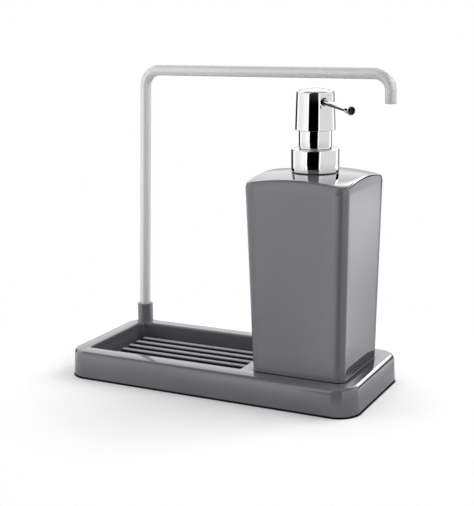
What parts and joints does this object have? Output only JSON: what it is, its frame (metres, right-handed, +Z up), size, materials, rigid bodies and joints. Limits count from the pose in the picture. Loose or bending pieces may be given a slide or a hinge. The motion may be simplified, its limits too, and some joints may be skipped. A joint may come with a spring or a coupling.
{
  "type": "soap dispenser with tray and towel rail",
  "caption": "Sink-side soap dispenser: square tapered pump bottle standing on a low rectangular tray with a ribbed sponge dish and a bent towel rail.",
  "frame": {"origin": "middle of the tray's plan, on the surface that the four feet stand on", "axes": "+X along the tray towards the bottle, +Y towards the back where the rail stands, +Z up"},
  "size_m": [0.2188, 0.098, 0.2193],
  "materials": {
    "tray": "smooth grey gloss moulding",
    "foot_front_left": "matt",
    "foot_front_right": "matt",
    "foot_back_left": "matt",
    "foot_back_right": "matt",
    "towel_rail": "satin grey",
    "rail_end_plug": "matt",
    "bottle": "smooth grey gloss moulding",
    "threaded_closure": "moulded, hidden under the collar",
    "collar_sleeve": "mirror polished",
    "gasket": "matt",
    "pump_cylinder": "translucent moulding",
    "stem_guide": "moulded",
    "chimney_sleeve": "mirror polished",
    "dip_tube": "translucent tube",
    "return_spring": "bright wire",
    "check_ball": "polished",
    "piston": "moulded",
    "piston_plug": "moulded",
    "stem": "moulded",
    "head_insert": "moulded",
    "head_sleeve": "mirror polished",
    "spout_tube": "mirror polished",
    "spout_tip": "mirror polished"
  },
  "bodies": {
    "base": {"tray": "tray", "foot_front_left": "foot_front_left", "foot_front_right": "foot_front_right", "foot_back_left": "foot_back_left", "foot_back_right": "foot_back_right"},
    "rail": {"towel_rail": "towel_rail", "rail_end_plug": "rail_end_plug"},
    "container": {"bottle": "bottle"},
    "pump": {"pump_cylinder": "pump_cylinder", "gasket": "gasket", "stem_guide": "stem_guide", "chimney_sleeve": "chimney_sleeve", "dip_tube": "dip_tube", "return_spring": "return_spring"},
    "closure": {"threaded_closure": "threaded_closure", "collar_sleeve": "collar_sleeve"},
    "valve": {"check_ball": "check_ball"},
    "plunger": {"piston": "piston", "piston_plug": "piston_plug"},
    "head": {"stem": "stem", "head_insert": "head_insert", "head_sleeve": "head_sleeve", "spout_tube": "spout_tube", "spout_tip": "spout_tip"}
  },
  "joints": [
    {"name": "rail_swing", "type": "hinge", "parent": "base", "child": "rail", "pos_m": [-0.097, 0.042, 0.02], "axis": [0, 0, 1], "range_deg": [0, 90]},
    {"name": "bottle_lift", "type": "slide", "parent": "base", "child": "container", "axis": [0, 0, 1], "range_m": [0, 0.006]},
    {"name": "pump_lift", "type": "slide", "parent": "container", "child": "pump", "axis": [0, 0, 1], "range_m": [0, 0.004]},
    {"name": "closure_turn", "type": "hinge", "parent": "pump", "child": "closure", "pos_m": [0.0654, -0.0039, 0.16], "axis": [0, 0, 1], "range_deg": [0, 360]},
    {"name": "valve_ball_rise", "type": "slide", "parent": "pump", "child": "valve", "axis": [0, 0, 1], "range_m": [0, 0.002]},
    {"name": "press", "type": "slide", "parent": "pump", "child": "plunger", "axis": [0, 0, -1], "range_m": [0, 0.012], "stiffness_N_per_m": 400, "springref_m": -0.01, "deforming": ["return_spring"]},
    {"name": "head_turn", "type": "hinge", "parent": "plunger", "child": "head", "pos_m": [0.0654, -0.0039, 0.19], "axis": [0, 0, 1], "continuous": true}
  ],
  "couplings": [
    {"joint": "pump_lift", "follows": "closure_turn", "m_per_rad": 0.00063662}
  ]
}
